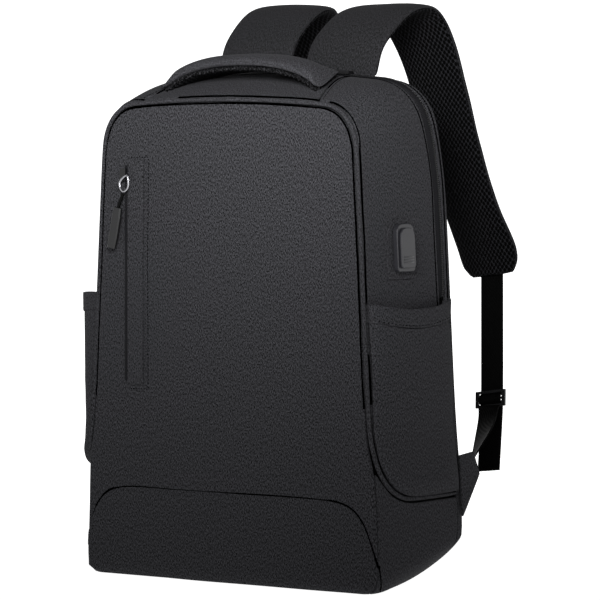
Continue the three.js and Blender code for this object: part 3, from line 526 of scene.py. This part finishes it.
def make_lining():
    """A closed lining inside the panels, so that no seam shows an empty bag."""
    inset = 5.2
    shares = (0.035, 0.25, 0.5, 0.75, 0.97)
    half = [k / 8 for k in range(41)]
    points = []
    for share in shares:
        ring = [outline(share, s, inset) for s in half]
        y = [FRONT_Y + (back_y_on(s) - FRONT_Y) * share for s in half]
        points += [(x, yy, z) for (x, z), yy in zip(ring, y)]
        points += [(-x, yy, z) for (x, z), yy in list(zip(ring, y))[-2:0:-1]]
    count = len(points) // len(shares)
    faces = [tuple(range(count))[::-1], tuple(range(len(points) - count, len(points)))]
    for row in range(len(shares) - 1):
        for k in range(count):
            a, b = row * count + k, row * count + (k + 1) % count
            faces.append((a, b, b + count, a + count))
    mesh = bpy.data.meshes.new("bag_lining")
    mesh.from_pydata([Vector(p) * MM for p in points], [], faces)
    piece = bpy.data.objects.new("bag_lining", mesh)
    bpy.context.scene.collection.objects.link(piece)
    pick(piece)
    bpy.ops.object.mode_set(mode="EDIT")
    bpy.ops.mesh.select_all(action="SELECT")
    bpy.ops.mesh.remove_doubles(threshold=0.01 * MM)
    bpy.ops.mesh.quads_convert_to_tris()
    bpy.ops.mesh.normals_make_consistent(inside=False)
    bpy.ops.object.mode_set(mode="OBJECT")
    lay_cloth_map(piece)
    finish_piece(piece, lining_taffeta, "shell_cloth")


make_lining()


# Stitches, painted shade lines along the seams' creases, and zip teeth, laid on the finished surfaces

def surface_tree(*names):
    """The surfaces of some pieces, to be hit by the stitches."""
    points, faces = [], []
    for name in names:
        mesh = bpy.data.objects[name].data
        start = len(points)
        points += [v.co.copy() for v in mesh.vertices]
        faces += [[start + k for k in p.vertices] for p in mesh.polygons]
    return BVHTree.FromPolygons(points, faces)


def capsule():
    """One stitch of unit length and unit radius along X, modelled once."""
    bpy.ops.mesh.primitive_uv_sphere_add(segments=6, ring_count=4, radius=1, rotation=(0, math.pi / 2, 0))
    form = bpy.context.object
    bpy.ops.object.transform_apply(location=False, rotation=True, scale=False)
    points = points_of(form)
    points[:, 0] *= 0.5
    faces = [list(p.vertices) for p in form.data.polygons]
    bpy.data.objects.remove(form)
    return points, faces


STITCH, STITCH_FACES = capsule()


def lay_row(name, routes, onto, pitch, long, wide, material, slot, across=False, sink=0.3):
    """Lays short bars along routes, each a list of places and the way they are pressed on the surface."""
    points, faces = [], []
    for path, press in routes:
        path = [Vector(p) for p in path]
        press = Vector(press).normalized()
        for start, end in zip(path, path[1:]):
            steps = max(1, round((end - start).length / pitch))
            for k in range(steps):
                place = start.lerp(end, (k + 0.5) / steps)
                hit, normal, _, _ = onto.ray_cast((place - press * REACH) * MM, press, 2 * REACH * MM)
                if hit is None:
                    continue
                if normal.dot(press) > 0:
                    normal = -normal
                along = (end - start).normalized()
                along = (along - normal * along.dot(normal)).normalized()
                turn = normal.cross(along)
                if across:
                    along, turn = turn, along
                centre = hit / MM + normal * (wide / 2 - sink * wide)
                base = len(points)
                for u, v, w in STITCH:
                    rim = turn * (v * wide / 2) + normal * (w * wide / 2)
                    points.append((centre + along * (u * long) + rim) * MM)
                faces += [[base + k for k in face] for face in STITCH_FACES]
    mesh = bpy.data.meshes.new(name)
    mesh.from_pydata(points, [], faces)
    piece = bpy.data.objects.new(name, mesh)
    bpy.context.scene.collection.objects.link(piece)
    smooth(piece, 80)
    lay_cloth_map(piece)
    finish_piece(piece, material, slot)


body_tree = surface_tree("front_cloth", "boot_cloth", "top_cloth", "side_cloth_right", "side_cloth_left",
                         "low_side_cloth_right", "low_side_cloth_left", "back_band_cloth")
zip_tree = surface_tree("main_zip_tapes")


def zip_line(side, forward, steps=60):
    """A line on the band beside the main zip, from the side pocket up to the middle of the top."""
    line = []
    for k in range(steps + 1):
        s = ZIP_LOW + (5 - ZIP_LOW) * k / steps
        y = back_y_on(s) - ZIP_BAND - forward
        line.append(gusset(side, s, y))
    return line


def pressed(line, side):
    """Splits a line into short routes, each pressed toward the bag's middle."""
    routes = []
    for a, b in zip(line, line[1:]):
        middle = (a + b) / 2
        over = Vector((-middle.x, 0, MIDDLE - middle.z))
        routes.append(((a, b), over if middle.z > SHOULDER else Vector((-side, 0, 0))))
    return routes


def arch_route():
    """The arch of stitches over the port on the right side."""
    x, y, wide, low, high, rise = 170, -13, 17.5, 283, 316, 15
    route = [(x, y - wide, low + (high - low) * k / 6) for k in range(7)]
    for k in range(1, 11):
        turn = math.pi * k / 10
        route.append((x, y - wide * math.cos(turn), high + rise * math.sin(turn)))
    route += [(x, y + wide, high - (high - low) * k / 6) for k in range(1, 7)]
    return route


def flap_routes():
    """The stitches round the flap of the hidden front zip."""
    top, low, edge = FLAP_HIGH + 0.5, FLAP_LOW - 0.5, 80
    lines = (
        [(FLAP_RIGHT, -edge, FLAP_LOW), (FLAP_RIGHT, -edge, FLAP_HIGH)],
        [(FLAP_LEFT, -edge, top), (FLAP_RIGHT, -edge, top)],
        [(FLAP_LEFT, -edge, low), (FLAP_RIGHT, -edge, low)],
    )
    return [(line, (0, 1, 0)) for line in lines]


def boot_seam():
    """The curved seam over the front's lower panel, where a painted shade line is laid."""
    line = []
    for k in range(61):
        u = -1 + 2 * k / 60
        u = math.copysign(1 - (1 - abs(u)) ** 1.6, u)
        z = 83 - 58 * abs(u) ** 13
        line.append((u * (half_width(z) - 0.5), -90, z))
    return line


def boot_side_seam(way):
    """Its last bit on the side, down to the base."""
    return [(way * 190, y, z) for y, z in ((-64.3, 26), (-63, 19), (-61, 12), (-58, 5.5), (-55, 2))]


def piping_seams(way):
    """Painted shade lines in the creases on both sides of the piping cord, on the front and on the band round
    the bag.
    """
    near, far = [], []
    for k in range(91):
        s = PIPE_LOW + (5 - PIPE_LOW) * k / 90
        corner = min(2 * math.sin(math.pi * (s - 3)), 1) if 3 < s < 4 else 0
        crease = PIPE_IN + PIPE_CREASE + PIPE_CORNER * corner
        x, z = outline(0, s, crease)
        if s > PIPE_TURN:
            near.append((way * x, FRONT_Y, z))
        far.append(gusset(way, s, FRONT_Y + crease))
    return [(near, (0, 1, 0))] + pressed(far, way)


def top_seam(way, front, back):
    """The slanting seam between the top panel and the side, half front wide in front."""
    return [(way * front[0], front[1], 450), (way * back[0], back[1], 480)], (0, 0, -1)


def hem_line(way):
    """The line of stitches along a side pocket's hem."""
    line = []
    for k in range(25):
        share = 0.03 + 0.94 * k / 24
        lift = HEM_LIFT_LEFT if way < 0 else 0
        low = HEM_HEIGHT + lift - HEM_DIP * math.sin(math.pi * share) - HEM_TALL
        line.append((way * 180, HEM_FRONT + HEM_DEEP * share, low + HEM_STITCH))
    return line


stitch_routes = flap_routes()
# routes of the painted shade lines, black bars laid in the seams' creases
crease_shade_routes = [(boot_seam(), (0, 1, 0))]
teeth = []
for way in (1, -1):
    stitch_routes += pressed(zip_line(way, ZIP_WIDE + ZIP_SEAM_FRONT), way)
    stitch_routes += pressed(zip_line(way, -ZIP_STITCH_BACK), way)
    stitch_routes.append(top_seam(way, (101.5, -62), (73, 26)))
    crease_shade_routes += piping_seams(way)
    crease_shade_routes.append((boot_side_seam(way), (-way, 0, 0)))
    crease_shade_routes.append(top_seam(way, (98.2, -64), (70, 28)))
for way in (1, -1):
    crease_shade_routes += pressed(zip_line(way, ZIP_WIDE + ZIP_SEAM_FRONT), way)
    crease_shade_routes += pressed(zip_line(way, -ZIP_SEAM_BACK), way)
    teeth += pressed(zip_line(way, ZIP_WIDE / 2), way)
stitch_routes.append((arch_route(), (-1, 0, 0)))
crease_shade_routes.append((arch_route(), (-1, 0, 0)))

stitches = {"pitch": 3.3, "long": 2.5, "wide": 0.7, "material": thread_and_crease_shade, "slot": "shell_cloth"}
# wide black bars sunk along the seams: painted shade in their creases, not thread
creases = {"pitch": 2.0, "long": 3.2, "wide": 2.2, "material": thread_and_crease_shade, "slot": "shell_cloth", "sink": 0.72}
chain = {"pitch": 2.0, "long": 3.4, "wide": 1.3, "material": acetal, "slot": "zip", "across": True}
lay_row("seam_crease_shade_lines", crease_shade_routes, body_tree, **creases)
lay_row("seam_stitches", stitch_routes, body_tree, **stitches)
lay_row("main_zip_teeth", teeth, zip_tree, **chain)
for label, way in (("right", 1), ("left", -1)):
    tree = surface_tree(f"pocket_hem_cloth_{label}", f"pocket_cloth_{label}")
    lay_row(f"hem_stitches_{label}", [(hem_line(way), (-way, 0, 0))], tree, **stitches)


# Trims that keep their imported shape

def dress_node(node, material, bevel=0.3):
    """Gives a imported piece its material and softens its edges, without changing its mesh."""
    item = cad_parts[node]
    item.data.materials.clear()
    item.data.materials.append(material)
    modifier = item.modifiers.new("Edges", "BEVEL")
    modifier.width = bevel * MM
    modifier.segments = 2
    modifier.limit_method = "ANGLE"
    modifier.angle_limit = math.radians(40)
    return item


for trim in ("tri_glide_right", "tri_glide_left", "main_zip_slider", "front_zip_slider"):
    dress_node(trim, acetal)
dress_node("main_zip_tab", nickel)
dress_node("front_zip_wire", nickel, 0.1)
dress_node("front_zip_pull_cord", cord_braid, 0.1)
dress_node("front_zip_pull_grip", soft_rubber)
dress_node("usb_housing", port_rubber, 0.5)
dress_node("usb_cover", port_rubber, 0.5)


def port_ribs():
    """Three small grip ribs near the low end of the port's cover."""
    deep, wide, tall = 1.2, 15, 1.1
    low, high = (Vector(corner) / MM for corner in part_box("usb_cover"))
    for number, height in enumerate((5.2, 7.6, 10.0)):
        bpy.ops.mesh.primitive_cube_add(size=1)
        rib = bpy.context.object
        rib.name = f"port_rib_{number}"
        face = high.x - TAPER * height
        place = Vector((face - 0.1, (low.y + high.y) / 2, low.z + height))
        rib.data.transform(
            Matrix.Translation(place * MM)
            @ Matrix.Diagonal((deep * MM, wide * MM, tall * MM, 1))
        )
        apply_modifier(rib, "BEVEL", width=0.3 * MM, segments=2)
        smooth(rib)
        finish_piece(rib, port_rubber, "black_rubber")


port_ribs()


# Stage: a pale floor, soft light and the camera at the photograph's angle

def make_stage():
    """A white floor that glows outward, and a sky that is white only near the horizon."""
    material, tree = new_material("pale_studio_floor")
    paper = add(tree, "ShaderNodeBsdfDiffuse", {"Color": srgb("#999999")})
    place = add(tree, "ShaderNodeTexCoord")
    flat = add(tree, "ShaderNodeVectorMath", {0: place.outputs["Object"]}, operation="LENGTH")
    light = add(tree, "ShaderNodeMapRange", {
        "Value": flat.outputs["Value"], "From Min": 0.3, "From Max": 1.0, "To Min": 1.0, "To Max": 1.5,
    })
    glow = add(tree, "ShaderNodeEmission", {"Color": (1, 1, 1, 1), "Strength": light.outputs["Result"]})
    both = add(tree, "ShaderNodeAddShader", {0: paper.outputs["BSDF"], 1: glow.outputs["Emission"]})
    add(tree, "ShaderNodeOutputMaterial", {"Surface": both.outputs["Shader"]})
    bpy.ops.mesh.primitive_plane_add(size=12, location=(0, 0, -0.0005))
    floor = bpy.context.object
    floor.name = "studio_floor"
    floor.data.transform(floor.matrix_world)
    floor.matrix_world.identity()
    floor.data.materials.append(material)
    world = bpy.data.worlds.new("studio")
    bpy.context.scene.world = world
    world.use_nodes = True
    tree = world.node_tree
    way = add(tree, "ShaderNodeTexCoord")
    parts = add(tree, "ShaderNodeSeparateXYZ", {0: way.outputs["Generated"]})
    rise = add(tree, "ShaderNodeMath", {0: parts.outputs["Z"]}, operation="ABSOLUTE")
    sky = add(tree, "ShaderNodeMapRange", {
        "Value": rise.outputs[0], "From Min": 0.14, "From Max": 0.34, "To Min": 1.45, "To Max": 0.15,
    })
    background = tree.nodes["Background"]
    background.inputs["Color"].default_value = (1, 1, 1, 1)
    tree.links.new(sky.outputs["Result"], background.inputs["Strength"])
    bpy.context.scene.view_settings.view_transform = "Standard"


def soft_light(name, place, aim, size, watts, spread):
    """A softbox with a grid: its light is kept within spread degrees."""
    data = bpy.data.lights.new(name, "AREA")
    data.shape = "RECTANGLE"
    data.size, data.size_y = size
    data.energy = watts
    data.spread = math.radians(spread)
    light = bpy.data.objects.new(name, data)
    bpy.context.scene.collection.objects.link(light)
    light.location = place
    light.rotation_euler = (Vector(aim) - Vector(place)).to_track_quat("-Z", "Y").to_euler()


def make_camera():
    azimuth, elevation = math.radians(36), math.radians(2.79)
    distance = 3.888
    aim = Vector((0.0317, 0, 0.2562))
    level = math.cos(elevation)
    back = Vector((math.sin(azimuth) * level, -math.cos(azimuth) * level, math.sin(elevation)))
    data = bpy.data.cameras.new("photo_camera")
    data.sensor_width = 36
    data.lens = 255
    camera = bpy.data.objects.new("photo_camera", data)
    bpy.context.scene.collection.objects.link(camera)
    camera.location = aim + back * distance
    camera.rotation_euler = (-back).to_track_quat("-Z", "Y").to_euler()
    bpy.context.scene.camera = camera


make_stage()
soft_light(
    "key_in_front", place=(0.56, -0.9, 0.72), aim=(0, -0.05, 0.65), size=(0.35, 0.35), watts=6.2, spread=60,
)
make_camera()
